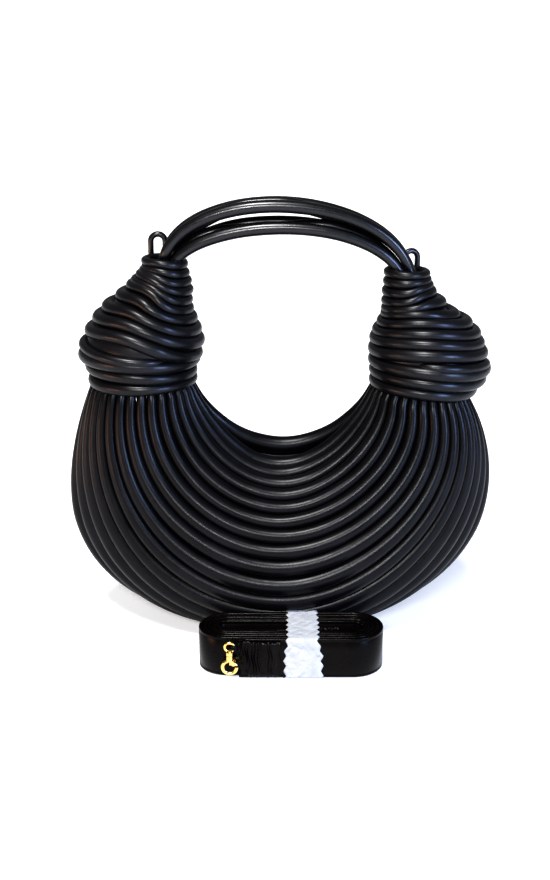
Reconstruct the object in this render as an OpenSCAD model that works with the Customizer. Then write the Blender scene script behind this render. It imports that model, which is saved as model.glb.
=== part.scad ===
// Knotted cord handbag, with its folded shoulder strap standing in front of it.
// +Z is up, the front faces -Y, and the origin is on the floor under the middle of the bag.
// Every body cord hangs between the two knots like a jump rope, so one family of curves makes them all.

/* [Body] */
// Half depth of the belly, to the middle of its cords
belly_depth = 52.5; // [48:0.5:55]
// Height at which the belly is deepest
belly_height = 53.5; // [50:0.5:56]
// Height of the front rim cord at mid width
rim_height = 100.8; // [97:0.2:104]
// How much higher the back rim stands
rim_lift = 8; // [2:0.5:9]
// Half the distance between the two rim cords
rim_half_gap = 7; // [6.8:0.2:8]
// How far the outer cords swing out past the left knot
left_bulge = 24.5; // [22:0.5:27]
// How far the outer cords swing out past the right knot
right_bulge = 28.5; // [26:0.5:31]
// Radius of the upper cords where they hang free
cord_r = 4; // [3.6:0.1:4]
// Radius of the cords round the bottom, which are spaced more widely
low_cord_r = 5.2; // [4.6:0.1:5.2]
// Radius of a cord where the knot squeezes it
squeezed_r = 2.6; // [2.2:0.1:2.7]
// Thickness of the lining
lining_t = 1.5; // [1.2:0.1:2]

/* [Knots] */
// Height of the line about which the handle and knots tilt
tilt_z = 172; // [170:0.5:174]
// Where the left knot's collar is
left_x = -81.5; // [-84:0.5:-79]
// Where the right knot's collar is
right_x = 87.5; // [85:0.5:90]
// Radius of the ball under the left knot
left_ball = 37.5; // [37:0.1:38]
// Radius of the ball under the right knot
right_ball = 42; // [41.5:0.1:42.5]
// How far the right knot's collar leans out, in degrees
right_lean = 9; // [6:1:10]
// Radius of the cord that is wound into the knots
turn_r = 2.4; // [2.2:0.05:2.4]

/* [Handle] */
// Top of the left knot's neck
left_neck = [-64.5, 0, 223];
// Top of the right knot's neck
right_neck = [71, 0, 217];
// How far both necks lean in, in degrees
neck_lean = 24; // [20:1:26]
// Radius of a handle cord
handle_r = 3.4; // [3:0.1:3.5]
// How far apart the upper and lower handle cords are at mid width
handle_spread = 12; // [11:0.5:14]

/* [Strap] */
// Width of the shoulder strap
strap_w = 24; // [20:1:26]
// Thickness of the shoulder strap
strap_t = 2.2; // [1.8:0.1:2.2]
// Distance from one turn of the bundle to the next
strap_pitch = 2.45; // [2.4:0.05:2.6]
// Length of the bundle
bundle_l = 108; // [100:1:114]
// Depth of the bundle
bundle_d = 37; // [36:0.5:38]
// Middle of the bundle
bundle_at = [5, -67.5, 0.8];
// Width of the paper band
band_w = 23; // [18:1:26]
// Thickness of the paper band
band_t = 0.5; // [0.4:0.1:0.5]

/* [Hooks] */
// Radius of the hook's bend
bend_r = 3.9; // [3.6:0.1:4]
// Radius of the hook's wire
hook_r = 1.1; // [1:0.05:1.15]

/* [Hidden] */
$fn = 48;
pairs = 15;
pair_names = ["01", "02", "03", "04", "05", "06", "07", "08", "09", "10", "11", "12", "13", "14", "15"];
handle_names = ["front_upper", "middle_upper", "back_upper", "back_lower", "middle_lower", "front_lower"];
front_names = [for (n = pair_names) str("front_cord_", n)];
back_names = [for (n = pair_names) str("back_cord_", n)];
grip_names = [for (n = handle_names) str("handle_cord_", n)];

leather = [0.07, 0.07, 0.08];
lining_cloth = [0.2, 0.19, 0.18];
gold = [0.83, 0.66, 0.3];
paper = [0.95, 0.95, 0.94];

// The cords leave the knots on a circle of this radius, just under the lowest collar turn
collar_r = 29;
// Clearance between a knot's ball and the cord tops that it tilts over
ball_gap = 0.6;
// Height at which the lowest cords lie on the floor, low enough that it flattens them
resting_z = 4;
// Cord number at the deepest point of the belly
deepest = 8;
// Clearance between two parts that turn in each other
play = 0.3;
cord_sides = 8;
cord_steps = 10;
grip_steps = 18;
// Turns in each part of a knot: collar, belly, neck
collar_turns = 3;
belly_turns = 6;
neck_turns = 4;
// The first turn that is level
upright = 8;

function mix(a, b, t) = a + (b - a) * t;
function unit(v) = v / norm(v);
function bezier(a, b, c, d, t) =
    pow(1 - t, 3) * a + 3 * t * pow(1 - t, 2) * b + 3 * t * t * (1 - t) * c + pow(t, 3) * d;

// ---- The family of body cords ----

// Middle cross-section of the front, as [y, z]: rim at k = 0, deepest point, keel at k = pairs
function belly_line(k) = k <= deepest
    ? bezier([-rim_half_gap, rim_height], [-32, 95], [-belly_depth, 80],
             [-belly_depth, belly_height], k / deepest)
    : bezier([-belly_depth, belly_height], [-belly_depth, 26], [-36, 0], [0, 0],
             (k - deepest) / (pairs - deepest));

// The same line moved inwards by an inset
function inset_line(k, inset) =
    let (a = max(k - 0.05, 0), b = min(k + 0.05, pairs))
    let (along = unit(belly_line(b) - belly_line(a)))
    belly_line(k) + inset * [-along[1], along[0]];

function back_lift(k, side) = side > 0 ? rim_lift * pow(max(0, 1 - k / 6), 2) : 0;

// Where cord k crosses the middle of the bag; side is -1 in front and +1 behind
function middle_point(k, side, inset) =
    let (p = inset_line(k, inset))
    [0, -side * p[0], p[1] + back_lift(k, side)];

// Each knot, as [end, x, ball radius, lean, bulge of its cords, their run along the bottom, their drop
// at the side]: end is -1 for the left and +1 for the right
left_knot = [-1, left_x, left_ball, 0, left_bulge, 107, 48.8];
right_knot = [1, right_x, right_ball, right_lean, right_bulge, 86.5, 36.8];
function ball_centre(knot) = [knot[1], 0, tilt_z];
function lean_over(v, a) = [v[0] * cos(a) + v[2] * sin(a), v[1], v[2] * cos(a) - v[0] * sin(a)];

// Where cord k leaves the knot
function top_point(k, side, knot, inset) =
    let (around = 180 * (k + 0.5) / (pairs + 0.5))
    let (r = collar_r - inset)
    let (drop = sqrt(pow(knot[2] + ball_gap, 2) - r * r))
    ball_centre(knot) + lean_over([-knot[0] * r * cos(around), side * r * sin(around), -drop], knot[3]);

// A point on cord k as it would hang in the air: t runs from -1 at the left knot, through 0 in the
// middle, to 1 at the right knot
function hanging_point(k, side, t, inset) =
    let (knot = t < 0 ? left_knot : right_knot)
    let (end = knot[0], u = k / pairs)
    let (top = top_point(k, side, knot, inset), low = middle_point(k, side, inset))
    let (out = end * ((8 + knot[4]) * pow(u, 1.3) - 8))
    let (shoulder = [top[0] + out, mix(top[1], low[1], 0.35), top[2] - 19 - knot[6] * sin(90 * u)])
    let (run = [end * (25 + knot[5] * pow(u, 2.6) - inset * u), low[1], low[2]])
    bezier(top, shoulder, run, low, 1 - abs(t));

// The same point once the bag stands on the floor, which holds up the lowest cords and the lining on them
function on_rest(z) = resting_z + (z - resting_z + sqrt(pow(z - resting_z, 2) + 1)) / 2;
function cord_point(k, side, t, inset = 0) =
    let (z = hanging_point(k, side, t, 0)[2])
    hanging_point(k, side, t, inset) + [0, 0, on_rest(z) - z];

// Cords are squeezed at the knots and full where they hang free
function free_radius(k) = mix(cord_r, low_cord_r, min(1, max(0, (k - 7) / 2)));
function cord_radius(k, t) = mix(free_radius(k), squeezed_r, t * t);

// ---- Tubes along a path ----

function path_direction(path, i) = unit(path[min(i + 1, len(path) - 1)] - path[max(i - 1, 0)]);
function tube_ring(p, along, r, sides) =
    let (a = unit(cross([0, 1, 0], along)))
    let (b = cross(along, a))
    [for (j = [0:sides - 1]) p + r * (cos(360 * (j + 0.5) / sides) * a + sin(360 * (j + 0.5) / sides) * b)];
function tube_faces(rings, sides) = concat(
    [[for (j = [0:sides - 1]) j]],
    [for (i = [0:rings - 2], j = [0:sides - 1])
        [i * sides + j, (i + 1) * sides + j, (i + 1) * sides + (j + 1) % sides, i * sides + (j + 1) % sides]],
    [[for (j = [sides - 1:-1:0]) (rings - 1) * sides + j]]
);

// The floor flattens what would hang below it
function on_floor(p) = [p[0], p[1], max(p[2], 0)];
// The ends of a body cord follow the ball of the knot above them
function on_ball(p, knot) =
    ball_centre(knot) + unit(p - ball_centre(knot)) * (knot[2] + ball_gap);

module body_cord(k, side) {
    last = 2 * cord_steps;
    steps = [for (i = [0:last]) i / cord_steps - 1];
    path = [for (t = steps) cord_point(k, side, t)];
    points = [for (i = [0:last])
        let (ring = tube_ring(path[i], path_direction(path, i), cord_radius(k, steps[i]), cord_sides))
        for (p = ring) i == 0 ? on_ball(p, left_knot) : i == last ? on_ball(p, right_knot) : on_floor(p)];
    color(leather) polyhedron(points, tube_faces(last + 1, cord_sides), convexity = 4);
}

// ---- Lining and snap ----

lining_columns = 16;
lining_end = 0.84;
// Cord numbers at which the lining is drawn, down the front and up the back
lining_rows = concat(
    [for (k = [0:1.5:pairs]) [k, -1]],
    [for (k = [pairs - 1.5:-1.5:0]) [k, 1]]
);
lining_clear = 6;

module lining_pouch() {
    rows = len(lining_rows);
    columns = lining_columns + 1;
    function skin(inset) = [for (row = lining_rows, c = [0:lining_columns])
        cord_point(row[0], row[1], lining_end * (2 * c / lining_columns - 1), inset)];
    points = concat(skin(lining_clear), skin(lining_clear + lining_t));
    inner = rows * columns;
    function at(r, c) = r * columns + c;
    faces = concat(
        [for (r = [0:rows - 2], c = [0:columns - 2])
            [at(r, c), at(r, c + 1), at(r + 1, c + 1), at(r + 1, c)]],
        [for (r = [0:rows - 2], c = [0:columns - 2])
            [inner + at(r, c), inner + at(r + 1, c), inner + at(r + 1, c + 1), inner + at(r, c + 1)]],
        [for (c = [0:columns - 2])
            [at(0, c), inner + at(0, c), inner + at(0, c + 1), at(0, c + 1)]],
        [for (c = [0:columns - 2])
            [at(rows - 1, c), at(rows - 1, c + 1), inner + at(rows - 1, c + 1), inner + at(rows - 1, c)]],
        [for (r = [0:rows - 2])
            [at(r, 0), at(r + 1, 0), inner + at(r + 1, 0), inner + at(r, 0)]],
        [for (r = [0:rows - 2])
            [at(r, columns - 1), inner + at(r, columns - 1), inner + at(r + 1, columns - 1),
             at(r + 1, columns - 1)]]
    );
    color(lining_cloth) polyhedron(points, faces, convexity = 6);
}

snap_z = 78;
snap_r = 7;
snap_t = 1.8;
tab_w = 18;
tab_t = 1.2;
tab_top = 88.5;

// One half of the magnetic snap on the leather tab that carries it; side is -1 in front and +1 behind
module snap_half(side) {
    color(lining_cloth)
    translate([-tab_w / 2, side > 0 ? snap_t : -snap_t - tab_t, snap_z - snap_r - 2])
        cube([tab_w, tab_t, tab_top - snap_z + snap_r + 2]);
    color(gold)
    translate([0, 0, snap_z]) rotate([side * -90, 0, 0]) difference() {
        cylinder(r = snap_r, h = snap_t);
        if (side > 0) translate([0, 0, -1]) cylinder(r = 2.6, h = 2.4);
    }
}

module snap_front() {
    snap_half(-1);
    color(gold) translate([0, 0, snap_z]) rotate([-90, 0, 0]) cylinder(r = 2.2, h = 1);
}

module snap_back() {
    snap_half(1);
}

// ---- Knots ----

module torus(ring_r, r) {
    rotate_extrude() translate([ring_r, 0]) circle(r);
}

// Outlines of the knots: height above the lowest turn against radius, and against the turn's middle in x
left_turn_z = 155;
left_turn_pitch = 5.33;
left_radius = [
    [0, 32.5], [7, 33.4], [13, 36.8], [21, 37.1], [26, 35.3], [32, 32.6],
    [38, 28.8], [44, 25.3], [50, 21.4], [56, 18.3], [64, 13.8]
];
left_middle = [[0, -81.5], [14, -82.5], [30, -80], [38, -79], [44, -76.2], [50, -71.6], [64, -67]];
right_turn_z = 146.7;
right_turn_pitch = 5.6;
right_radius = [
    [0, 31.8], [6, 34.3], [14, 36.4], [22, 35.7], [33, 33.2], [39, 29.3],
    [45, 23], [51, 19.6], [57, 16.5], [67, 13.8]
];
right_middle = [
    [0, 83.5], [8, 86.8], [14, 87.4], [27, 85.4], [39, 84], [45, 80.4], [51, 77.3], [57, 74.4], [67, 72.4]
];

// The turns of one part of a knot, each a closed ring, from the lowest one up. The lowest one leans with
// the collar, and the next ones less and less
module turns(first, count, base, pitch, radii, middles, lean) {
    for (i = [first:first + count - 1]) {
        height = i * pitch;
        translate([lookup(height, middles), 0, base + height]) rotate([0, lean * max(0, 1 - i / upright), 0])
            torus(lookup(height, radii) - turn_r, turn_r);
    }
}

module left_turns(first, count) {
    color(leather) turns(first, count, left_turn_z, left_turn_pitch, left_radius, left_middle, 0);
}

module right_turns(first, count) {
    color(leather)
        turns(first, count, right_turn_z, right_turn_pitch, right_radius, right_middle, right_lean);
}

module left_collar_turns() {
    left_turns(0, collar_turns);
}

module left_belly_turns() {
    left_turns(collar_turns, belly_turns);
}

module left_neck_turns() {
    left_turns(collar_turns + belly_turns, neck_turns);
}

module right_collar_turns() {
    right_turns(0, collar_turns);
}

module right_belly_turns() {
    right_turns(collar_turns, belly_turns);
}

module right_neck_turns() {
    right_turns(collar_turns + belly_turns, neck_turns);
}

core_r = 24.5;
core_neck_r = 7.2;
flange_r = 31.5;

// The bundle of cord ends inside a knot: a ball below, a drum inside the turns, a neck that leans in.
// The lowest turn is this far under the middle of the ball, and the drum's top this far over it
module knot_core(knot, neck, lowest_turn, drum_top) {
    color(leather) {
        translate(ball_centre(knot)) rotate([0, knot[3], 0]) {
            intersection() {
                sphere(knot[2]);
                translate([0, 0, -50]) cylinder(r = flange_r, h = 50 - lowest_turn - turn_r - 0.1);
            }
            translate([0, 0, -lowest_turn - 6]) cylinder(r = core_r, h = lowest_turn + 6 + drum_top);
        }
        translate(neck) rotate([0, -knot[0] * neck_lean, 0]) rotate([180, 0, 0])
            cylinder(r = core_neck_r, h = 42);
    }
}

module left_knot_core() {
    knot_core(left_knot, left_neck, tilt_z - left_turn_z, 12);
}

module right_knot_core() {
    knot_core(right_knot, right_neck, (tilt_z - right_turn_z) / cos(right_lean), 8);
}

// ---- Handle ----

left_reach = 39.4;
right_reach = 44.2;

function arch(t) = bezier(
    left_neck, left_neck + left_reach * [sin(neck_lean), 0, cos(neck_lean)],
    right_neck + right_reach * [-sin(neck_lean), 0, cos(neck_lean)], right_neck, t);

// Places of the six cords across the bundle, as [outwards, back]: packed in the necks, spread in the middle
neck_place = [for (i = [0:5]) 4.75 * [cos(60 * i - 60), sin(60 * i - 60)]];
middle_place = [
    [handle_spread / 2, -6.9], [handle_spread / 2 + 1, 0.3], [handle_spread / 2, 7.4],
    [-handle_spread / 2 + 1, 7], [-handle_spread / 2 - 1.5, 0.1], [-handle_spread / 2 - 0.5, -6.9]
];

// The bundle is loosest a little left of its middle
function handle_spreading(t) = pow(sin(180 * pow(t, 0.8)), 0.8);

// The two cords inside the bundle part only here, left of its middle, where it can be seen through
function parting(x) = let (t = min(1, max(0, 1.25 - abs(x + 10) / 32))) t * t * (3 - 2 * t);

function handle_point(i, t) =
    let (along = unit(arch(min(t + 0.01, 1)) - arch(max(t - 0.01, 0))))
    let (outwards = [-along[2], 0, along[0]])
    let (place = mix(neck_place[i], middle_place[i], handle_spreading(t)))
    let (closed = sign(place[0]) * min(abs(place[0]), mix(4.75, 3.7, pow(handle_spreading(t), 2))))
    let (across = i % 3 == 1 ? mix(closed, place[0], parting(arch(t)[0])) : place[0])
    arch(t) + across * outwards + [0, place[1], 0];

function handle_radius(t) = mix(2.25, handle_r, pow(handle_spreading(t), 1.3));

module handle_cord(i) {
    path = [for (s = [0:grip_steps]) handle_point(i, s / grip_steps)];
    last = grip_steps;
    directions = [for (s = [0:last])
        s == 0 ? [sin(neck_lean), 0, cos(neck_lean)]
        : s == last ? [sin(neck_lean), 0, -cos(neck_lean)] : path_direction(path, s)];
    points = [for (s = [0:last])
        each tube_ring(path[s], directions[s], handle_radius(s / last), cord_sides)];
    color(leather) polyhedron(points, tube_faces(last + 1, cord_sides), convexity = 4);
}

loop_r = 4.2;
loop_wire = 1.3;

// A small loop that the shoulder strap's hook clips on
module strap_loop(at, turn, leg) {
    color(leather) translate(at) rotate([0, 0, turn]) {
        rotate([90, 0, 0]) rotate_extrude(angle = 180) translate([loop_r, 0]) circle(loop_wire);
        for (x = [-loop_r, loop_r]) translate([x, 0, -leg]) cylinder(r = loop_wire, h = leg);
    }
}

module left_strap_loop() {
    strap_loop([-71.4, 9.5, 232], 0, 9.5);
}

module right_strap_loop() {
    strap_loop([75.5, 10, 222.2], 20, 5.5);
}

// ---- Shoulder strap ----

strap_turns = 5;
arc_steps = 14;
// Centres of the bundle's round ends
arc_x = (bundle_l - bundle_d) / 2;
outer_turn_r = (bundle_d - strap_t) / 2;
// Where the strap's two ends lie along its straight front
outer_end_x = -24;
inner_end_x = 14;

function spiral_r(half_turns) = outer_turn_r - strap_pitch * half_turns / 2;

// One edge of the strap, seen from above: half turns round the right and left ends by turns
function strap_edge(shift) = concat(
    [[outer_end_x - bundle_at[0], -spiral_r(0) - shift]],
    [for (half = [0:2 * strap_turns - 1], s = [0:arc_steps])
        let (end = half % 2 == 0 ? 1 : -1)
        let (angle = -90 * end + 180 * s / arc_steps)
        let (r = spiral_r(half + s / arc_steps) + shift)
        [end * arc_x + r * cos(angle), r * sin(angle)]],
    [[inner_end_x - bundle_at[0], -spiral_r(2 * strap_turns) - shift]]
);

module shoulder_strap() {
    near = strap_edge(strap_t / 2);
    far = strap_edge(-strap_t / 2);
    color(leather) translate(bundle_at) linear_extrude(strap_w)
        polygon(concat(near, [for (i = [len(far) - 1:-1:0]) far[i]]));
}

band_x = 1;
band_clear = 0.3;

module rounded_box_section(depth, height, r) {
    hull() for (y = [-depth / 2 + r, depth / 2 - r], z = [r, height - r]) translate([y, z]) circle(r);
}

module paper_band() {
    inside_d = bundle_d + 2 * band_clear;
    inside_h = strap_w + 2 * band_clear;
    color(paper)
    translate([band_x, bundle_at[1], 0]) rotate([90, 0, 90]) linear_extrude(band_w) difference() {
        rounded_box_section(inside_d + 2 * band_t, inside_h + 2 * band_t, 0.8);
        translate([0, band_t]) square([inside_d, 2 * inside_h], center = true);
        translate([-inside_d / 2, band_t]) square([inside_d, inside_h]);
    }
}

// ---- Swivel hooks ----

eye_r = 2.6;
eye_wire = 0.8;
eye_z = 4.9;
sleeve_r = 2;
sleeve_h = 2.4;
bend_z = -7.4;
pivot_at = [2.1, 0, -4.8];

// The outer hook hangs in front of the bundle, and the inner one in the hollow of its coil
outer_hook_at = [-29, -88.6, 16.2];
inner_hook_at = [8.6, -67.5, 16.2];
outer_hook_turn = 0;

// The end of the strap, gathered into a sleeve round the side of the hook's eye
module strap_end(hook_at, tab_l, tab_y) {
    sleeve_x = hook_at[0] + eye_r;
    color(leather) difference() {
        union() {
            translate([sleeve_x, hook_at[1], hook_at[2] + eye_z - sleeve_h / 2])
                cylinder(r = sleeve_r, h = sleeve_h);
            translate([sleeve_x + 1, tab_y, hook_at[2] + eye_z - sleeve_h / 2])
                cube([tab_l, 1.8, sleeve_h]);
            translate([sleeve_x + 4, tab_y, bundle_at[2] + 2]) cube([tab_l - 3, 1.8, strap_w - 4]);
        }
        translate([sleeve_x, hook_at[1], 0]) cylinder(r = eye_wire + play + 0.1, h = 40);
    }
}

module outer_strap_end() {
    strap_end(outer_hook_at, 24, -88);
}

module inner_strap_end() {
    strap_end(inner_hook_at, 20, inner_hook_at[1] - 1.6);
}

// The eye and the cup that the hook's swivel pin turns in
module hook_eye(at) {
    color(gold) translate(at) difference() {
        union() {
            translate([0, 0, eye_z]) rotate([90, 0, 0]) torus(eye_r, eye_wire);
            cylinder(r = 2, h = 2);
        }
        translate([0, 0, -1]) cylinder(r = 0.8 + play, h = 4);
        translate([0, 0, 2]) cylinder(r = 1.6, h = 1);
    }
}

module hook_body(at, turn) {
    color(gold) translate(at) rotate([0, 0, turn]) {
        translate([0, 0, -3.2]) cylinder(r = 0.8, h = 5.5);
        translate([0, 0, 2.1]) cylinder(r = 1.3, h = 0.7);
        translate([0, 0, -3.4]) cylinder(r = 1.9, h = 3.1);
        translate([0, 0, bend_z]) rotate([90, 0, 0]) rotate([0, 0, 100])
            rotate_extrude(angle = 260) translate([bend_r, 0]) circle(hook_r);
        for (y = [-1.9, 1.2]) translate([pivot_at[0], y + 0.7, pivot_at[2]]) rotate([90, 0, 0]) {
            cylinder(r = 1.25, h = 0.7);
            translate([-2.2, -0.6, 0]) cube([2.2, 2.6, 0.7]);
        }
        translate([pivot_at[0], 1.9, pivot_at[2]]) rotate([90, 0, 0]) cylinder(r = 0.4, h = 3.8);
    }
}

// The sprung gate, from its pivot down to the tip of the bend
module hook_gate(at, turn) {
    tip = [bend_r, 0, bend_z + 1.2];
    length = norm(tip - pivot_at);
    lean = atan2(tip[0] - pivot_at[0], pivot_at[2] - tip[2]);
    color(gold) translate(at) rotate([0, 0, turn]) difference() {
        translate(pivot_at) union() {
            translate([0, 0.9, 0]) rotate([90, 0, 0]) cylinder(r = 1, h = 1.8);
            rotate([0, 180 - lean, 0]) cylinder(r = 0.7, h = length);
        }
        translate(pivot_at + [0, 2, 0]) rotate([90, 0, 0]) cylinder(r = 0.55, h = 4);
    }
}

for (i = [0:pairs - 1]) {
    body_cord(i, -1);
    body_cord(i, 1);
}
body_cord(pairs, 1);  // keel_cord
lining_pouch();
snap_front();
snap_back();
left_knot_core();
left_collar_turns();
left_belly_turns();
left_neck_turns();
right_knot_core();
right_collar_turns();
right_belly_turns();
right_neck_turns();
for (i = [0:5]) handle_cord(i);
left_strap_loop();
right_strap_loop();
shoulder_strap();
outer_strap_end();
inner_strap_end();
paper_band();
hook_eye(outer_hook_at);  // outer_hook_eye
hook_body(outer_hook_at, outer_hook_turn);  // outer_hook_body
hook_gate(outer_hook_at, outer_hook_turn);  // outer_hook_gate
hook_eye(inner_hook_at);  // inner_hook_eye
hook_body(inner_hook_at, 0);  // inner_hook_body
hook_gate(inner_hook_at, 0);  // inner_hook_gate
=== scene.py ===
"""Looks for the knotted cord handbag and its folded shoulder strap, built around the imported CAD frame.

Lengths are in millimetres until a mesh is made. The front faces -Y and the origin is on the floor under
the middle of the bag.
"""

import math

import bpy
import numpy as np
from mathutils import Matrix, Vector

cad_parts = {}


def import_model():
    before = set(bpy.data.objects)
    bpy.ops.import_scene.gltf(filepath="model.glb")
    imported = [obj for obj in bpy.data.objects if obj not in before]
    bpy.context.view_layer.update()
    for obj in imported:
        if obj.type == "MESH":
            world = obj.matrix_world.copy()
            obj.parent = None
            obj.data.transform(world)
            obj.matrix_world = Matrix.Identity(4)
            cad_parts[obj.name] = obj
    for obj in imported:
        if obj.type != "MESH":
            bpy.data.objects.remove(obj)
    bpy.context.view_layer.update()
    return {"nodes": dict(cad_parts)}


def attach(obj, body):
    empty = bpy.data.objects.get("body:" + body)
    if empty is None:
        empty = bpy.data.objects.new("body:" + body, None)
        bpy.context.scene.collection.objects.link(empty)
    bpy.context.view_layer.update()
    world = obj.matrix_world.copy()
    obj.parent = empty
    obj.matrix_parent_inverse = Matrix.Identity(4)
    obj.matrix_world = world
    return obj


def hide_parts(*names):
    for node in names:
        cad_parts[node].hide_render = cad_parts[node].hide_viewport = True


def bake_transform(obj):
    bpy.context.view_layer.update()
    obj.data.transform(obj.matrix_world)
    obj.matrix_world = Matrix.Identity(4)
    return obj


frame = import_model()

MM = 0.001
rng = np.random.default_rng(7)


# ---- Small maths ----


def mix(a, b, t):
    return a + (b - a) * t


def unit(v):
    v = np.asarray(v, float)
    return v / np.linalg.norm(v, axis=-1, keepdims=True)


def smooth(t):
    t = np.clip(t, 0, 1)
    return t * t * (3 - 2 * t)


def bezier(a, b, c, d, t):
    a, b, c, d = (np.asarray(p, float) for p in (a, b, c, d))
    t = np.asarray(t, float)[..., None]
    return (1 - t) ** 3 * a + 3 * t * (1 - t) ** 2 * b + 3 * t * t * (1 - t) * c + t**3 * d


def wobble(x, waves=3, slowest=1.0):
    """A smooth random curve over x in 0 to 1, about as large as 1."""
    total = np.zeros(len(x))
    for i in range(1, waves + 1):
        total += np.sin(2 * math.pi * (slowest * i * x + rng.random())) * rng.uniform(0.6, 1) / i
    return total / 1.6


def ring_wobble(angle, waves=3):
    """The same for a closed curve, over an angle in radians."""
    total = np.zeros(len(angle))
    for i in range(1, waves + 1):
        total += np.sin(i * angle + 2 * math.pi * rng.random()) * rng.uniform(0.5, 1) / i
    return total / 1.6


# ---- Meshes ----


def make_object(name, points, faces, material):
    mesh = bpy.data.meshes.new(name)
    mesh.from_pydata((np.asarray(points, float) * MM).tolist(), [], faces)
    mesh.polygons.foreach_set("use_smooth", [True] * len(mesh.polygons))
    mesh.materials.append(material)
    mesh.update()
    obj = bpy.data.objects.new(name, mesh)
    bpy.context.scene.collection.objects.link(obj)
    return obj


def grid_faces(rows, columns, closed_rows=False, closed_columns=False, first=0):
    return [
        (
            first + r * columns + c,
            first + r * columns + (c + 1) % columns,
            first + (r + 1) % rows * columns + (c + 1) % columns,
            first + (r + 1) % rows * columns + c,
        )
        for r in range(rows if closed_rows else rows - 1)
        for c in range(columns if closed_columns else columns - 1)
    ]


def end_caps(rows, columns):
    """The two faces that close the ends of a tube made as a grid of points."""
    last = (rows - 1) * columns
    return [tuple(reversed(range(columns))), tuple(last + c for c in range(columns))]


def grid_border(rows, columns):
    """The points all the way round the edge of a grid."""
    last = (rows - 1) * columns
    border = list(range(columns))
    border += [r * columns + columns - 1 for r in range(1, rows)]
    border += [last + c for c in range(columns - 2, -1, -1)]
    return border + [r * columns for r in range(rows - 2, 0, -1)]


def tangents(path, closed=False):
    if closed:
        return unit(np.roll(path, -1, 0) - np.roll(path, 1, 0))
    return unit(np.gradient(path, axis=0))


def sweep(path, outward, section, closed=False):
    """Points and faces of a section carried along a path. section is (sides, 2) or (points, sides, 2):
    its first number goes along outward, and its second across it."""
    along = tangents(path, closed)
    outward = np.broadcast_to(np.asarray(outward, float), path.shape)
    a = unit(outward - (outward * along).sum(1, keepdims=True) * along)
    b = np.cross(along, a)
    section = np.broadcast_to(section, (len(path), *np.shape(section)[-2:]))
    points = path[:, None] + section[..., :1] * a[:, None] + section[..., 1:] * b[:, None]
    rows, sides = section.shape[:2]
    faces = grid_faces(rows, sides, closed, True)
    if not closed:
        faces += end_caps(rows, sides)
    return points.reshape(-1, 3), faces


def circle(sides, radius):
    """A round section, or one for each radius."""
    angle = 2 * math.pi * np.arange(sides) / sides
    ring = np.stack([np.cos(angle), np.sin(angle)], axis=1)
    return np.asarray(radius, float)[..., None, None] * ring


def join_parts(parts):
    """Several (points, faces) as one, with the faces renumbered."""
    points, faces, first = [], [], 0
    for part_points, part_faces in parts:
        points.append(part_points)
        faces += [tuple(first + i for i in face) for face in part_faces]
        first += len(part_points)
    return np.concatenate(points), faces


def distances(a, b):
    """For each point of path a, how far it is from path b."""
    return np.linalg.norm(a[:, None] - b[None], axis=2).min(axis=1)


# ---- Materials: colours and roughness follow noise between these two values ----

NOISE_LOW, NOISE_HIGH = 0.3, 0.7


def new_material(name):
    material = bpy.data.materials.new(name)
    material.use_nodes = True
    nodes, links = material.node_tree.nodes, material.node_tree.links
    return material, nodes, links, nodes["Principled BSDF"]


def noise(nodes, links, scale, detail=4, rough=0.55, distortion=0.0):
    coords = nodes.new("ShaderNodeTexCoord")
    texture = nodes.new("ShaderNodeTexNoise")
    texture.inputs["Scale"].default_value = scale
    texture.inputs["Detail"].default_value = detail
    texture.inputs["Roughness"].default_value = rough
    texture.inputs["Distortion"].default_value = distortion
    links.new(coords.outputs["Object"], texture.inputs["Vector"])
    return texture.outputs["Fac"]


def ramp(nodes, links, value, dark, light):
    """A colour from dark to light."""
    node = nodes.new("ShaderNodeValToRGB")
    stops = (NOISE_LOW, dark), (NOISE_HIGH, light)
    for element, (place, colour) in zip(node.color_ramp.elements, stops):
        element.position = place
        element.color = (*colour, 1)
    links.new(value, node.inputs["Fac"])
    return node.outputs["Color"]


def span(nodes, links, value, low, high):
    """A number from low to high."""
    node = nodes.new("ShaderNodeMapRange")
    node.inputs["From Min"].default_value = NOISE_LOW
    node.inputs["From Max"].default_value = NOISE_HIGH
    node.inputs["To Min"].default_value = low
    node.inputs["To Max"].default_value = high
    links.new(value, node.inputs["Value"])
    return node.outputs["Result"]


def bump(nodes, links, height, distance, below=None):
    """Relief as deep as distance, in metres, on top of the relief below."""
    node = nodes.new("ShaderNodeBump")
    node.inputs["Strength"].default_value = 1
    node.inputs["Distance"].default_value = distance
    links.new(height, node.inputs["Height"])
    if below is not None:
        links.new(below, node.inputs["Normal"])
    return node.outputs["Normal"]


def cloudy(nodes, links, shader, scale, dark, light):
    """A base colour that drifts between two shades."""
    shade = ramp(nodes, links, noise(nodes, links, scale, 5), dark, light)
    links.new(shade, shader.inputs["Base Color"])


GRAIN_SCALE, GRAIN_DEPTH = 1100, 0.000008
CREASE_DEPTH = 0.00016


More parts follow.
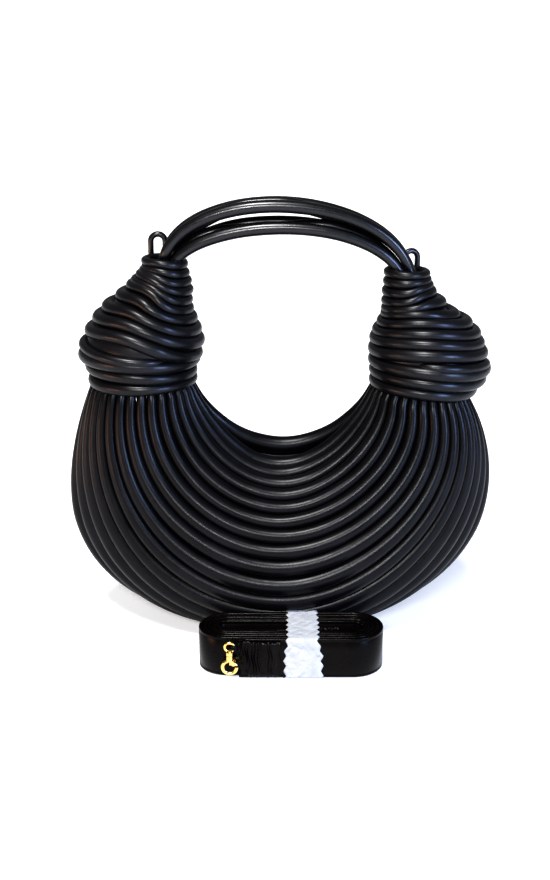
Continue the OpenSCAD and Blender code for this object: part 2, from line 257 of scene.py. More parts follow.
def leather(name, dark, light, smoothest, roughest, coat, specular):
    """Black leather: cloudy colour, uneven gloss, a fine pebbled grain over slow creases."""
    material, nodes, links, shader = new_material(name)
    cloudy(nodes, links, shader, 38, dark, light)
    gloss = span(nodes, links, noise(nodes, links, 90, 6, 0.65), smoothest, roughest)
    links.new(gloss, shader.inputs["Roughness"])
    creases = bump(nodes, links, noise(nodes, links, 75, 3, 0.5, 0.6), CREASE_DEPTH)
    coords = nodes.new("ShaderNodeTexCoord")
    cells = nodes.new("ShaderNodeTexVoronoi")
    cells.inputs["Scale"].default_value = GRAIN_SCALE
    cells.inputs["Randomness"].default_value = 1
    links.new(coords.outputs["Object"], cells.inputs["Vector"])
    links.new(bump(nodes, links, cells.outputs["Distance"], GRAIN_DEPTH, creases), shader.inputs["Normal"])
    shader.inputs["Coat Weight"].default_value = coat
    shader.inputs["Coat Roughness"].default_value = 0.22
    shader.inputs["Specular IOR Level"].default_value = specular
    return material


def cloth(name, dark, light):
    """A dark woven lining."""
    material, nodes, links, shader = new_material(name)
    cloudy(nodes, links, shader, 60, dark, light)
    coords = nodes.new("ShaderNodeTexCoord")
    weave = None
    for direction in ("X", "Z"):
        wave = nodes.new("ShaderNodeTexWave")
        wave.bands_direction = direction
        wave.inputs["Scale"].default_value = 420
        wave.inputs["Distortion"].default_value = 0.4
        links.new(coords.outputs["Object"], wave.inputs["Vector"])
        weave = bump(nodes, links, wave.outputs["Fac"], 0.00006, weave)
    links.new(weave, shader.inputs["Normal"])
    links.new(span(nodes, links, noise(nodes, links, 150), 0.7, 0.9), shader.inputs["Roughness"])
    shader.inputs["Sheen Weight"].default_value = 0.3
    shader.inputs["Sheen Roughness"].default_value = 0.5
    return material


def metal(name, dark, light, smoothest, roughest):
    """Gold plate, a little cloudy, with fine wear in its gloss."""
    material, nodes, links, shader = new_material(name)
    cloudy(nodes, links, shader, 260, dark, light)
    gloss = span(nodes, links, noise(nodes, links, 700, 6, 0.7), smoothest, roughest)
    links.new(gloss, shader.inputs["Roughness"])
    links.new(bump(nodes, links, noise(nodes, links, 900, 4), 0.00001), shader.inputs["Normal"])
    shader.inputs["Metallic"].default_value = 1
    return material


def tissue(name):
    """Thin white tissue paper, its white lowered to grey as painted shade: crumpled, matt, a little light
    shows through.
    """
    material, nodes, links, shader = new_material(name)
    # Grey base colour, not the paper's white: painted shade that dims the whole band
    cloudy(nodes, links, shader, 130, (0.29, 0.294, 0.298), (0.36, 0.364, 0.368))
    folds = bump(nodes, links, noise(nodes, links, 120, 4, 0.55, 1.5), 0.0016)
    links.new(bump(nodes, links, noise(nodes, links, 1500, 3), 0.00003, folds), shader.inputs["Normal"])
    links.new(span(nodes, links, noise(nodes, links, 300), 0.75, 0.95), shader.inputs["Roughness"])
    shader.inputs["Subsurface Weight"].default_value = 0.15
    shader.inputs["Subsurface Radius"].default_value = (0.002, 0.002, 0.002)
    shader.inputs["Sheen Weight"].default_value = 0.1
    return material


FLOOR_LIFT = 0.3


def floor_material():
    """Pale, and brighter to the camera than to the bag, so that its shadows stay faint."""
    material, nodes, links, shader = new_material("studio_floor")
    shade = ramp(nodes, links, noise(nodes, links, 3), (0.76, 0.76, 0.76), (0.78, 0.78, 0.78))
    links.new(shade, shader.inputs["Base Color"])
    links.new(span(nodes, links, noise(nodes, links, 8), 0.6, 0.8), shader.inputs["Roughness"])
    path, lift = nodes.new("ShaderNodeLightPath"), nodes.new("ShaderNodeMath")
    lift.operation = "MULTIPLY"
    lift.inputs[1].default_value = FLOOR_LIFT
    links.new(path.outputs["Is Camera Ray"], lift.inputs[0])
    links.new(lift.outputs[0], shader.inputs["Emission Strength"])
    shader.inputs["Emission Color"].default_value = (1, 1, 1, 1)
    return material


BLACK = (0.0015, 0.0015, 0.002), (0.005, 0.005, 0.006)
KNOT_BLACK = (0.002, 0.002, 0.0025), (0.006, 0.006, 0.0075)
STRAP_BLACK = (0.0015, 0.001, 0.0008), (0.005, 0.0035, 0.003)

body_leather = leather("body_leather", *BLACK, 0.29, 0.37, coat=0, specular=0.22)
knot_leather = leather("knot_leather", *KNOT_BLACK, 0.3, 0.4, coat=0.05, specular=0.32)
handle_leather = leather("handle_leather", *BLACK, 0.24, 0.36, coat=0.3, specular=0.35)
strap_leather = leather("strap_leather", *STRAP_BLACK, 0.2, 0.32, coat=0, specular=0.12)
lining_cloth = cloth("lining_cloth", (0.035, 0.033, 0.032), (0.06, 0.057, 0.055))
gold = metal("gold_plate", (0.72, 0.5, 0.17), (0.86, 0.64, 0.26), 0.14, 0.3)
snap_metal = metal("snap_plate", (0.6, 0.47, 0.24), (0.72, 0.58, 0.33), 0.28, 0.42)
paper = tissue("tissue_paper")


# ---- Body cords: one family of curves, as in the CAD ----

BELLY_DEPTH, BELLY_HEIGHT = 52.5, 53.5
RIM_HEIGHT, RIM_LIFT, RIM_HALF_GAP = 100.8, 8, 7
PAIRS, DEEPEST = 15, 8
RESTING_Z = 4
TILT_Z = 172
COLLAR_R, BALL_GAP = 29, 0.6
# The curves' control points: how far the first cords are drawn in, how far the shoulder lies below the
# knot, where the run along the bottom starts, and how fast bulge and run grow from cord to cord
DRAWN_IN, SHOULDER_DROP, RUN_START = 8, 19, 25
BULGE_POWER, RUN_POWER = 1.3, 2.6
# Each knot: end, x, ball radius, lean in degrees, then its cords' bulge, run along the bottom and drop
LEFT, RIGHT = (-1, -81.5, 37.5, 0, 24.5, 107, 48.8), (1, 87.5, 42, 9, 28.5, 86.5, 36.8)


def belly_line(k):
    if k <= DEEPEST:
        points = [-RIM_HALF_GAP, RIM_HEIGHT], [-32, 95], [-BELLY_DEPTH, 80], [-BELLY_DEPTH, BELLY_HEIGHT]
        return bezier(*points, k / DEEPEST)
    points = [-BELLY_DEPTH, BELLY_HEIGHT], [-BELLY_DEPTH, 26], [-36, 0], [0, 0]
    return bezier(*points, (k - DEEPEST) / (PAIRS - DEEPEST))


def middle_point(k, side, inset):
    before, after = belly_line(max(k - 0.05, 0)), belly_line(min(k + 0.05, PAIRS))
    along = unit(after - before)
    y, z = belly_line(k) + inset * np.array([-along[1], along[0]])
    lift = RIM_LIFT * max(0, 1 - k / 6) ** 2 if side > 0 else 0
    return np.array([0, -side * y, z + lift])


def lean_over(v, degrees):
    c, s = math.cos(math.radians(degrees)), math.sin(math.radians(degrees))
    return np.array([v[0] * c + v[2] * s, v[1], v[2] * c - v[0] * s])


def top_point(k, side, knot, inset):
    end, x, ball, lean = knot[:4]
    around = math.radians(180 * (k + 0.5) / (PAIRS + 0.5))
    r = COLLAR_R - inset
    drop = math.sqrt((ball + BALL_GAP) ** 2 - r * r)
    offset = lean_over([-end * r * math.cos(around), side * r * math.sin(around), -drop], lean)
    return np.array([x, 0, TILT_Z]) + offset


def hanging_line(k, side, knot, share, inset):
    """Points on half a cord: share runs from 0 in the middle of the bag to 1 at the knot."""
    end, bulge, reach, fall = knot[0], *knot[4:]
    u = k / PAIRS
    top, low = top_point(k, side, knot, inset), middle_point(k, side, inset)
    out = end * ((DRAWN_IN + bulge) * u**BULGE_POWER - DRAWN_IN)
    down = SHOULDER_DROP + fall * math.sin(math.radians(90 * u))
    shoulder = [top[0] + out, mix(top[1], low[1], 0.35), top[2] - down]
    run = [end * (RUN_START + reach * u**RUN_POWER - inset * u), low[1], low[2]]
    return bezier(top, shoulder, run, low, 1 - share)


def cord_line(k, side, shares, inset=0.0):
    """Points on a whole cord, from the left knot to the right one; shares rise from 0 to 1."""
    halves = []
    for knot in (LEFT, RIGHT):
        line, plain = (hanging_line(k, side, knot, shares, d) for d in (inset, 0))
        over = plain[:, 2] - RESTING_Z
        line[:, 2] += RESTING_Z + (over + np.sqrt(over**2 + 1)) / 2 - plain[:, 2]
        halves.append(line)
    return np.concatenate([halves[0][::-1], halves[1][1:]])


HALF_STEPS = 44
TUCK, TUCK_STEPS, TUCK_SQUEEZE = 9, 4, 0.14
FLOOR_CLEAR = 0.15
FULLEST_R, CORD_SIDES = 6, 18
CORD_SWAY = (0.15, 0.35, 0.35)


def tucked(line):
    """The line with both ends carried on up into the knots, drawn in a little under the collars."""
    ends = []
    for knot, points in ((LEFT, line[::-1]), (RIGHT, line)):
        up = unit(unit(points[-1] - points[-3]) + [0, 0, 1.4])
        steps = np.arange(1, TUCK_STEPS + 1)[:, None] / TUCK_STEPS
        added = points[-1] + up * TUCK * steps
        axis = np.array([knot[1], 0])
        added[:, :2] = axis + (added[:, :2] - axis) * (1 - TUCK_SQUEEZE * steps)
        ends.append(added)
    return np.concatenate([ends[0][::-1], line, ends[1]])


def cord_name(k, side):
    if k == PAIRS:
        return "keel_cord"
    return f"{'front' if side < 0 else 'back'}_cord_{k + 1:02d}"


half_shares = np.linspace(0, 1, HALF_STEPS + 1)
cord_keys = [(k, side) for side in (-1, 1) for k in range(PAIRS)] + [(PAIRS, 1)]
cord_lines = {key: cord_line(*key, half_shares) for key in cord_keys}


def cord_neighbours(k, side):
    if k == PAIRS:
        return [(PAIRS - 1, -1), (PAIRS - 1, 1)]
    return [n for n in ((k - 1, side), (k + 1, side if k + 1 < PAIRS else 1)) if n in cord_lines]


def body_cord(k, side):
    """One cord, thick enough to touch its neighbours where it hangs free, and squeezed at the knots."""
    line = cord_lines[k, side]
    gaps = [distances(line, cord_lines[n]) for n in cord_neighbours(k, side)]
    x = np.linspace(0, 1, len(line))
    near_knot = np.abs(2 * x - 1) ** 6
    radius = np.minimum(0.5 * np.mean(gaps, axis=0), FULLEST_R) * mix(1.01, 0.93, near_knot)
    radius *= 1 + 0.02 * wobble(x, 4, 2)
    free = (1 - np.abs(2 * x - 1) ** 4)[:, None]
    sway = np.stack([wobble(x, 3, 1.5) * size for size in CORD_SWAY], axis=1)
    path = tucked(line + sway * free)
    radius = np.concatenate([[radius[0]] * TUCK_STEPS, radius, [radius[-1]] * TUCK_STEPS])
    points, faces = sweep(path, (0, 1, 0), circle(CORD_SIDES, radius))
    points[:, 2] = np.maximum(points[:, 2], FLOOR_CLEAR)
    obj = make_object(f"leather_{cord_name(k, side)}", points, faces, body_leather)
    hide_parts(cord_name(k, side))
    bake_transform(obj)


for key in cord_keys:
    body_cord(*key)


# ---- Lining ----

# How far the lining hangs inside the cords' middle lines, how thick it is, and how far along them it goes
LINING_CLEAR, LINING_T, LINING_END = 6.4, 0.8, 0.88


def lining():
    """One thin pouch, which follows the cords down one side, under the bag and up the other."""
    at = np.linspace(0, LINING_END, 25)
    rows = [(k, -1) for k in np.arange(0, PAIRS + 0.1, 0.5)]
    rows += [(k, 1) for k in np.arange(PAIRS - 0.5, -0.1, -0.5)]
    skins = [
        np.array([cord_line(k, side, at, LINING_CLEAR + thick) for k, side in rows])
        for thick in (0, LINING_T)
    ]
    count, columns = skins[0].shape[:2]
    outer, inner = (s.reshape(-1, 3) for s in skins)
    faces = grid_faces(count, columns)
    faces += [tuple(reversed(f)) for f in grid_faces(count, columns, first=len(outer))]
    rim = grid_border(count, columns)
    for a, b in zip(rim, rim[1:] + rim[:1]):
        faces.append((b, a, a + len(outer), b + len(outer)))
    obj = make_object("cloth_lining", np.concatenate([outer, inner]), faces, lining_cloth)
    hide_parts("lining_pouch")
    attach(obj, "bag")


lining()


# ---- Knots ----

# Outline of each knot: height over the lowest turn against outside radius, and against the middle in x
OUTLINES = {
    "left": (
        155,
        [[0, 32.5], [7, 33.4], [13, 36.8], [21, 37.1], [26, 35.3], [32, 32.6], [38, 28.8], [44, 25.3],
         [50, 21.4], [56, 18.3], [64, 13.8]],
        [[0, -81.5], [14, -82.5], [30, -80], [38, -79], [44, -76.2], [50, -71.6], [64, -67]],
    ),
    "right": (
        146.7,
        [[0, 31.8], [6, 34.3], [14, 36.4], [22, 35.7], [33, 33.2], [39, 29.3], [45, 23], [51, 19.6],
         [57, 16.5], [67, 13.8]],
        [[0, 83.5], [8, 86.8], [14, 87.4], [27, 85.4], [39, 84], [45, 80.4], [51, 77.3], [57, 74.4],
         [67, 72.4]],
    ),
}
# Each turn's height at the front, how far it drops to the knot's right, and how far it droops at both sides
TURNS = {
    "left": [
        (153.2, 0, 0), (160.4, 4, 0), (167.3, 4, 0),
        (180.7, 16, 3), (187.6, 15.5, 2.5), (193.5, 15, 2), (199.4, 15.2, 1.5), (204.8, 15.5, 1),
        (208, 13.5, 0), (211, 10.7, -1), (214.2, 7.5, -1), (218, 4.4, 0), (222.2, 2.7, 0),
    ],
    "right": [
        (150.6, 5, 0), (156.8, 5, 0), (163, 5, 0),
        (173.3, 2, 3), (179.5, 2, 3), (184.7, 1.5, 3), (189.8, 1, 3), (194.6, 1, 3),
        (198, -4, 2), (201.8, -6, 0.5), (206.3, -4.5, 0), (211.2, -1, 0), (215.8, 1, 0),
    ],
}
# Short strands that come out of one turn and go in under another: from and to angle, height, drop
STRAYS = {
    "left": [(150, 305, 176, 6.4)],
    "right": [(250, 380, 167.2, 5)],
}
GROUPS = {"collar": (0, 3), "belly": (3, 8), "neck": (8, 13)}
TURN_POINTS, TURN_SIDES = 120, 16
TURN_R, THINNEST_TURN_R, THICKEST_TURN_R = 2.7, 2.4, 4.0
STRAY_R = 2.9
# How steeply, and how far round from the front, a turn falls to its lower side
FALL_SLOPE, FALL_MIDDLE = 1.5, 0.25


def outline(side, z):
    """Outside radius and middle in x of a knot at heights z."""
    base, radii, middles = OUTLINES[side]
    radii, middles = np.array(radii), np.array(middles)
    return np.interp(z - base, *radii.T), np.interp(z - base, *middles.T)


def on_knot(side, angle, z, depth):
    """Points inside a knot's outline by a depth, and the way out from there."""
    radius, middle = outline(side, z)
    out = np.stack([np.cos(angle), np.sin(angle), np.zeros(len(angle))], axis=1)
    return out * (radius - depth)[:, None] + np.stack([middle, 0 * z, z], axis=1), out


def turn_height(angle, z, drop, droop):
    """Height round a turn, which is z at the front."""
    falling = 0.5 * (1 + np.tanh(FALL_SLOPE * (np.cos(angle) - FALL_MIDDLE)))
    at_front = 0.5 * (1 + math.tanh(-FALL_SLOPE * FALL_MIDDLE))
    return z - drop * (falling - at_front) - droop * np.cos(angle) ** 2


def build_knot(side):
    """The turns, each as thick as the room between its neighbours, and the bundle inside them."""
    angle = 2 * math.pi * np.arange(TURN_POINTS) / TURN_POINTS
    heights = [turn_height(angle, *turn) + 0.35 * ring_wobble(angle) for turn in TURNS[side]]
    rough_paths = [on_knot(side, angle, height, TURN_R)[0] for height in heights]
    for group, (first, last) in GROUPS.items():
        parts = []
        for i in range(first, last):
            neighbours = [j for j in (i - 1, i + 1) if 0 <= j < len(heights)]
            gaps = [distances(rough_paths[i], rough_paths[j]) for j in neighbours]
            radius = np.clip(0.53 * np.mean(gaps, axis=0), THINNEST_TURN_R, THICKEST_TURN_R)
            radius = 0.25 * (np.roll(radius, 2) + np.roll(radius, -2)) + 0.5 * radius
            path, out = on_knot(side, angle, heights[i], radius + 0.25 + 0.2 * ring_wobble(angle))
            parts.append(sweep(path, out, circle(TURN_SIDES, radius), closed=True))
        if group == "belly":
            parts += [stray(side, *s) for s in STRAYS[side]]
        obj = make_object(f"{side}_{group}_wraps", *join_parts(parts), knot_leather)
        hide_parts(f"{side}_{group}_turns")
        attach(obj, "handle")
    knot_core(side)


def stray(side, start, end, z, drop):
    """A short strand, whose ends go in under the turns."""
    share = np.linspace(0, 1, 40)
    angle = np.radians(mix(start, end, share))
    height = z - drop * smooth(share) + 0.3 * wobble(share)
    inside = 5 * np.abs(2 * share - 1) ** 5
    path, out = on_knot(side, angle, height, TURN_R + 0.3 + inside)
    radius = STRAY_R * (1 - 0.35 * np.abs(2 * share - 1) ** 4)
    return sweep(path, out, circle(14, radius))


def knot_core(side):
    """The bundle inside the turns, which fills the chinks between them."""
    base, top = OUTLINES[side][0], TURNS[side][-1][0]
    columns, rows = 48, 24
    angle = 2 * math.pi * np.arange(columns) / columns
    tilt = TURNS[side][0][1]
    rings = []
    for z in np.linspace(base - 2, top, rows):
        low = 1 - smooth((z - base) / 25)
        height = turn_height(angle, z, tilt * low, 0)
        rings.append(on_knot(side, angle, height, 4.2 if z > base else 5.6)[0])
    points = np.concatenate(rings)
    faces = grid_faces(rows, columns, False, True) + end_caps(rows, columns)
    obj = make_object(f"{side}_knot_bundle", points, faces, knot_leather)
    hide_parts(f"{side}_knot_core")
    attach(obj, "handle")


build_knot("left")
build_knot("right")


# ---- Handle ----

NECK_LEAN = math.radians(24)
LEFT_NECK, RIGHT_NECK = np.array([-64.5, 0, 223]), np.array([71, 0, 217])
LEFT_REACH, RIGHT_REACH = 39.4, 44.2
HANDLE_SPREAD = 12
# Where each cord of the bundle lies in the middle of the handle: outwards and across
MIDDLE_PLACES = [
    (HANDLE_SPREAD / 2, -6.9), (HANDLE_SPREAD / 2 + 1, 0.2), (HANDLE_SPREAD / 2, 7.4),
    (-HANDLE_SPREAD / 2 + 1, 7), (-HANDLE_SPREAD / 2 - 1.5, 0.1), (-HANDLE_SPREAD / 2 - 0.5, -6.9),
]
HANDLE_NAMES = ["front_upper", "middle_upper", "back_upper", "back_lower", "middle_lower", "front_lower"]
NECK_PLACE_R, NECK_CORD_R, HANDLE_R = 5.3, 2.85, 3.75
NECK_TUCK, NECK_TUCK_STEPS = 10, 4
# Where along x the two middle cords part, how far from there they do, and how far out they stay otherwise
PARTING_X, PARTING_REACH, CLOSED_OUT = -10, 40, 3.2


def arch(t):
    """The middle line of the handle."""
    lean = np.array([math.sin(NECK_LEAN), 0, math.cos(NECK_LEAN)])
    rise, fall = LEFT_REACH * lean, RIGHT_REACH * lean * [-1, 1, 1]
    return bezier(LEFT_NECK, LEFT_NECK + rise, RIGHT_NECK + fall, RIGHT_NECK, t)


def handle_cord(i):
    t = np.linspace(0, 1, 72)
    line = arch(t)
    along = tangents(line)
    outwards = np.stack([-along[:, 2], 0 * t, along[:, 0]], axis=1)
    spreading = np.maximum(np.sin(math.pi * t**0.8), 0) ** 0.8
    turn = math.radians(60 * i - 60)
    neck = NECK_PLACE_R * np.array([math.cos(turn), math.sin(turn)])
    place = mix(neck, np.array(MIDDLE_PLACES[i]), spreading[:, None])
    if i in (1, 4):
        # The two cords in the middle of the bundle part only where one can see through the handle
        parted = smooth(1.25 * (1 - np.abs(line[:, 0] - PARTING_X) / PARTING_REACH))
        closed = np.clip(place[:, 0], -CLOSED_OUT, CLOSED_OUT)
        place[:, 0] = mix(closed, place[:, 0], parted)
    place += np.stack([wobble(t, 3) * 0.35, wobble(t, 3) * 0.35], axis=1) * spreading[:, None]
    path = line + place[:, :1] * outwards + place[:, 1:] * [0, 1, 0]
    radius = mix(NECK_CORD_R, HANDLE_R, spreading) * (1 + 0.02 * wobble(t, 4, 2))
    into = np.linspace(1, 0.2, NECK_TUCK_STEPS)[:, None] * NECK_TUCK
    start, end = path[0] - into * along[0], path[-1] + into[::-1] * along[-1]
    path = np.concatenate([start, path, end])
    radius = np.concatenate([[radius[0]] * NECK_TUCK_STEPS, radius, [radius[-1]] * NECK_TUCK_STEPS])
    points, faces = sweep(path, (0, 1, 0), circle(20, radius))
    obj = make_object(f"leather_handle_cord_{HANDLE_NAMES[i]}", points, faces, handle_leather)
    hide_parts(f"handle_cord_{HANDLE_NAMES[i]}")
    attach(obj, "handle")


for i in range(len(HANDLE_NAMES)):
    handle_cord(i)

LOOP_R, LOOP_CORD_R = 4.2, 1.7


def strap_loop(side, at, turn, leg):
    """A small loop of thin round cord that stands on the top turn of a knot."""
    angle = np.linspace(0, math.pi, 24)
    bow = np.stack([LOOP_R * np.cos(angle), 0 * angle, LOOP_R * np.sin(angle)], axis=1)
    down = np.linspace(-leg - 2, -0.5, 7)
    legs = [np.stack([0 * down + x, 0 * down, down], axis=1) for x in (LOOP_R, -LOOP_R)]
    path = np.concatenate([legs[0], bow, legs[1][::-1]])
    c, s = math.cos(math.radians(turn)), math.sin(math.radians(turn))
    path = path @ np.array([[c, s, 0], [-s, c, 0], [0, 0, 1]]) + at
    points, faces = sweep(path, (-s, c, 0), circle(12, LOOP_CORD_R))
    obj = make_object(f"{side}_cord_loop", points, faces, handle_leather)
    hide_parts(f"{side}_strap_loop")
    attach(obj, "handle")


strap_loop("left", np.array([-71.4, 9.5, 232]), 0, 9.5)
strap_loop("right", np.array([75.5, 10, 222.2]), 20, 5.5)


# ---- Shoulder strap ----

STRAP_W, STRAP_T, STRAP_PITCH = 24, 2.2, 2.45
BUNDLE_L, BUNDLE_D = 108, 37
BUNDLE = np.array([5, -67.5, 0.8])
STRAP_TURNS = 5
ARC_X = (BUNDLE_L - BUNDLE_D) / 2
OUTER_END_X, INNER_END_X = -24, 14


def spiral_r(half_turns):
    """Radius of the coil's round ends, which shrinks as the strap winds inwards."""
    return (BUNDLE_D - STRAP_T) / 2 - STRAP_PITCH * half_turns / 2


def strap_path():
    """The middle line of the coiled strap, seen from above, from its outer end to its inner end."""
    points = [[OUTER_END_X - BUNDLE[0], -spiral_r(0)]]
    for half in range(2 * STRAP_TURNS):
        end = 1 if half % 2 == 0 else -1
        last = points[-1]
        first = [end * ARC_X, -end * spiral_r(half)]
        for s in np.linspace(0, 1, 14)[1:-1]:
            points.append([mix(last[0], first[0], s), mix(last[1], first[1], s)])
        for s in np.linspace(0, 1, 26):
            angle = math.radians(-90 * end + 180 * s)
            r = spiral_r(half + s)
            points.append([end * ARC_X + r * math.cos(angle), r * math.sin(angle)])
    last, final = points[-1], [INNER_END_X - BUNDLE[0], -spiral_r(2 * STRAP_TURNS)]
    points += [[mix(last[0], final[0], s), mix(last[1], final[1], s)] for s in np.linspace(0, 1, 10)[1:]]
    return np.array(points)


def strap_section(width, thick):
    """A flat strap's section with rounded edges and a pressed line just inside each edge."""
    half_w, half_t = width / 2, thick / 2
    corner = 0.7
    line = half_w - 1.8
    dips = [(line + 0.3, 0), (line, 0.22), (line - 0.3, 0), (0, -0.05),
            (0.3 - line, 0), (-line, 0.22), (-line - 0.3, 0)]
    points = []
    for sign in (1, -1):
        angle = np.linspace(-90, 90, 7) if sign > 0 else np.linspace(90, 270, 7)
        for a in np.radians(angle):
            up = np.sign(round(math.sin(a), 6))
            points.append([
                sign * (half_w - corner) + corner * math.cos(a),
                (half_t - corner) * up + corner * math.sin(a),
            ])
        points += [[sign * w, sign * half_t - sign * dip] for w, dip in dips]
    return np.array(points)


def shoulder_strap():
    """The coiled strap, looser towards its inner end, which is crumpled on the right."""
    line = strap_path()
    count = len(line)
    x = np.linspace(0, 1, count)
    inner = smooth((x - 0.55) / 0.3)
    across = unit(np.gradient(line, axis=0))[:, ::-1] * [-1, 1]
    line = line + across * ((0.15 + 0.6 * inner) * wobble(x, 5, 6))[:, None]
    crumpled = smooth((line[:, 0] - ARC_X + 4) / 6) * smooth((x - 0.62) / 0.1)
    line = line + across * (crumpled * 0.8 * np.sin(2.2 * line[:, 1] + 3 * x))[:, None]
    z = BUNDLE[2] + STRAP_W / 2 + np.clip(0.5 * wobble(x, 4, 6) * smooth(x / 0.15), -0.4, 0.2)
    path = np.column_stack([line + BUNDLE[:2], z])
    points, faces = sweep(path, (0, 0, 1), strap_section(STRAP_W, STRAP_T))
    obj = make_object("leather_shoulder_strap", points, faces, strap_leather)
    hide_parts("shoulder_strap")
    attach(obj, "strap")


shoulder_strap()

OUTER_HOOK, INNER_HOOK = np.array([-29, -88.6, 16.2]), np.array([8.6, -67.5, 16.2])
EYE_R, EYE_Z = 2.6, 4.9


def gathered_end(name, node, hook, length, y):
    """The strap's end, drawn together in pleats and sewn into a sleeve round the hook's eye."""
    columns, rows = 70, 13
    s = np.linspace(0, 1, columns)
    sleeve_x = hook[0] + EYE_R
    x = sleeve_x + 0.4 + s * length
    half_height = mix(1.3, STRAP_W / 2 - 1.4, smooth(s / 0.3))
    middle_z = mix(hook[2] + EYE_Z, BUNDLE[2] + STRAP_W / 2, smooth(s / 0.35))
    folds = 2 * math.pi * (6.5 * s**0.8 + 0.25 * wobble(s, 3, 1.5))
    depth = 0.75 * smooth(s / 0.15) * smooth((1 - s) / 0.12)
    points = []
    for face in (-1, 1):
        for r in np.linspace(-1, 1, rows):
            bow = 0.35 * (1 - r * r)
            points.append(np.column_stack([
                x + 0.5 * np.sin(5 * r + 9 * s) * smooth(s / 0.2),
                y + face * (0.75 + bow * (face < 0))
                + depth * np.sin(folds + 0.9 * r) * (1 - 0.3 * abs(r)),
                middle_z + r * half_height,
            ]))
    points = np.concatenate(points)
    back = rows * columns
    faces = [tuple(reversed(f)) for f in grid_faces(rows, columns)] + grid_faces(rows, columns, first=back)
    border = grid_border(rows, columns)
    for a, b in zip(border, border[1:] + border[:1]):
        faces.append((a, b, b + back, a + back))
    upright = np.array([[sleeve_x, hook[1], hook[2] + EYE_Z + d] for d in np.linspace(-1.2, 1.2, 5)])
    sleeve = sweep(upright, (1, 0, 0), circle(16, 1.9))
    obj = make_object(name, *join_parts([(points, faces), sleeve]), strap_leather)
    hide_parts(node)
    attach(obj, "strap")


gathered_end("outer_gathered_end", "outer_strap_end", OUTER_HOOK, 25, -87.1)
gathered_end("inner_gathered_end", "inner_strap_end", INNER_HOOK, 21, INNER_HOOK[1] - 0.6)


# ---- Paper band ----

BAND_X, BAND_W = 1, 23


def paper_band():
    """A strip of tissue paper wrapped round the bundle, with torn edges."""
    half_d, height, corner = BUNDLE_D / 2 + 0.55, STRAP_W + 1.1, 1.6
    around = []
    for cy, cz, start in ((1, 1, 0), (-1, 1, 90), (-1, -1, 180), (1, -1, 270)):
        for a in np.radians(np.linspace(start, start + 90, 5)):
            around.append([
                cy * (half_d - corner) + corner * math.cos(a),
                height / 2 + cz * (height / 2 - corner) + corner * math.sin(a),
            ])
    loop = np.array(around + around[:1])
    steps = np.concatenate([[0], np.cumsum(np.linalg.norm(np.diff(loop, axis=0), axis=1))])
    rows, columns = 150, 18
    at = np.linspace(0, steps[-1], rows, endpoint=False)
    ring = np.stack([np.interp(at, steps, loop[:, i]) for i in (0, 1)], axis=1)
    out = unit(ring - [0, height / 2])
    angle = 2 * math.pi * np.arange(rows) / rows
    top = smooth((ring[:, 1] - height * 0.55) / (height * 0.4))
    teeth = [3.4 * np.abs(np.mod(np.arange(rows) / 7.5 + phase, 1) - 0.5) + 0.4 * ring_wobble(angle, 9)
             for phase in (0.1, 0.6)]
    skins = []
    for thick in (0, 0.3):
        points = []
        for c in np.linspace(0, 1, columns):
            left = BAND_X + teeth[0] + 1.5 * top
            right = BAND_X + BAND_W - teeth[1] - 2.5 * top
            x = mix(left, right, c)
            crumple = 0.22 * np.sin(5 * angle + 9 * c) * np.sin(3 * math.pi * c + 2 * angle)
            crumple += 0.12 * np.sin(17 * angle + 20 * c)
            yz = ring + out * (crumple + thick)[:, None]
            points.append(np.column_stack([x, yz[:, 0] + BUNDLE[1], np.maximum(yz[:, 1], 0.4 - thick)]))
        skins.append(np.stack(points, axis=1).reshape(-1, 3))
    inner, outer = skins
    faces = grid_faces(rows, columns, True, False) + [
        tuple(reversed(f)) for f in grid_faces(rows, columns, True, False, first=len(inner))
    ]
    for r in range(rows):
        a, b = r * columns, (r + 1) % rows * columns
        faces.append((a, b, b + len(inner), a + len(inner)))
        a, b = a + columns - 1, b + columns - 1
        faces.append((b, a, a + len(inner), b + len(inner)))
    obj = make_object("tissue_band", np.concatenate([inner, outer]), faces, paper)
    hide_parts("paper_band")
    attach(obj, "band")


paper_band()


# ---- Metal parts and snap: the CAD shapes with better materials ----


def finish_node(node, material):
    obj = frame["nodes"][node]
    obj.data.materials.clear()
    obj.data.materials.append(material)


for hook in ("outer", "inner"):
    for part in ("eye", "body", "gate"):
        finish_node(f"{hook}_hook_{part}", gold)
for half in ("front", "back"):
    finish_node(f"snap_{half}", snap_metal)


# ---- Studio ----


FLOOR_HALF = 9000


def floor():
    corners = [(x * FLOOR_HALF, y * FLOOR_HALF, 0) for x, y in ((-1, -1), (1, -1), (1, 1), (-1, 1))]
    obj = make_object("floor", corners, [(0, 1, 2, 3)], floor_material())


def area_light(name, place, target, width, height, power, colour=(1, 1, 1)):
    light = bpy.data.lights.new(name, "AREA")
    light.shape = "RECTANGLE"
    light.size, light.size_y = width, height
    light.energy = power
    light.color = colour
    obj = bpy.data.objects.new(name, light)
    obj.location = place
    obj.rotation_euler = (Vector(target) - Vector(place)).to_track_quat("-Z", "Y").to_euler()
    bpy.context.scene.collection.objects.link(obj)


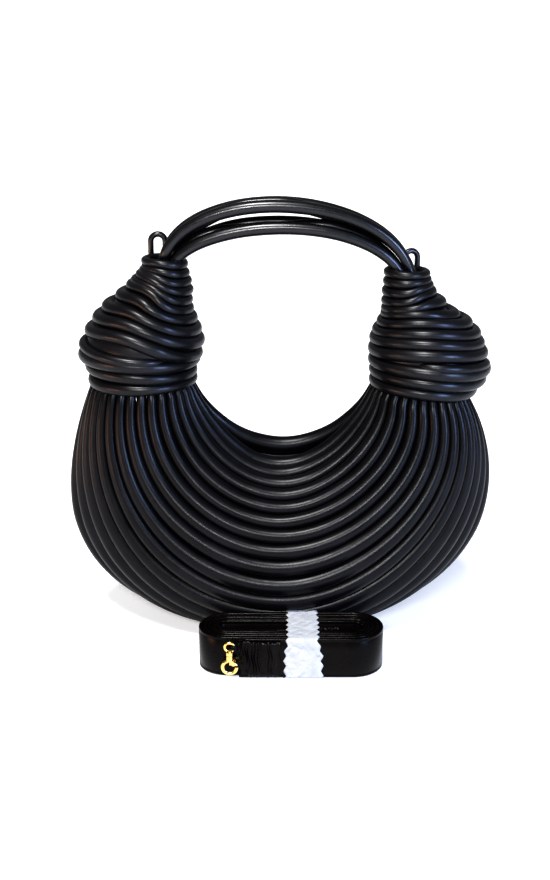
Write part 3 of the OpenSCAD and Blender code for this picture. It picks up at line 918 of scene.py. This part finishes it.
def sun_light(name, toward, strength, width):
    """Even light from far away; toward points from the bag to the light, and width is how wide it looks."""
    light = bpy.data.lights.new(name, "SUN")
    light.energy = strength
    light.angle = math.radians(width)
    obj = bpy.data.objects.new(name, light)
    obj.rotation_euler = Vector(toward).to_track_quat("Z", "Y").to_euler()
    bpy.context.scene.collection.objects.link(obj)


def world():
    """White where the camera looks past the bag, and dimmer where it only lights it."""
    made = bpy.data.worlds.new("studio")
    bpy.context.scene.world = made
    made.use_nodes = True
    nodes, links = made.node_tree.nodes, made.node_tree.links
    seen, lit = nodes["Background"], nodes.new("ShaderNodeBackground")
    seen.inputs["Color"].default_value = (1, 1, 1, 1)
    seen.inputs["Strength"].default_value = 1
    lit.inputs["Color"].default_value = (0.95, 0.97, 1, 1)
    lit.inputs["Strength"].default_value = 0.22
    path, either = nodes.new("ShaderNodeLightPath"), nodes.new("ShaderNodeMixShader")
    links.new(path.outputs["Is Camera Ray"], either.inputs[0])
    links.new(lit.outputs["Background"], either.inputs[1])
    links.new(seen.outputs["Background"], either.inputs[2])
    links.new(either.outputs["Shader"], nodes["World Output"].inputs["Surface"])


def studio():
    world()
    middle = (0, 0, 0.11)
    sun_light("key_above", (-0.12, -0.45, 1), strength=3.1, width=13)
    area_light("front_soft", (-0.15, -1.3, 0.8), middle, 0.4, 0.22, 13)
    area_light("cool_right", (0.85, -0.85, 0.45), middle, 0.35, 0.5, 13, (0.42, 0.58, 1))
    area_light("warm_left", (-0.9, -0.5, 0.08), (0, 0, 0.04), 0.5, 0.12, 2, (1, 0.5, 0.3))
    view = bpy.context.scene.view_settings
    view.view_transform, view.look = "Standard", "High Contrast"


def camera():
    """The photograph's viewpoint: straight in front of the bag, 18 degrees above level."""
    data = bpy.data.cameras.new("camera")
    data.lens = 54.54
    data.sensor_width = 36
    data.clip_start, data.clip_end = 0.05, 20
    obj = bpy.data.objects.new("camera", data)
    target = Vector((-0.0036, 0, 0.114))
    obj.location = (-0.0036, -0.7608, 0.3612)
    obj.rotation_euler = (target - obj.location).to_track_quat("-Z", "Y").to_euler()
    bpy.context.scene.collection.objects.link(obj)
    bpy.context.scene.camera = obj


floor()
studio()
camera()
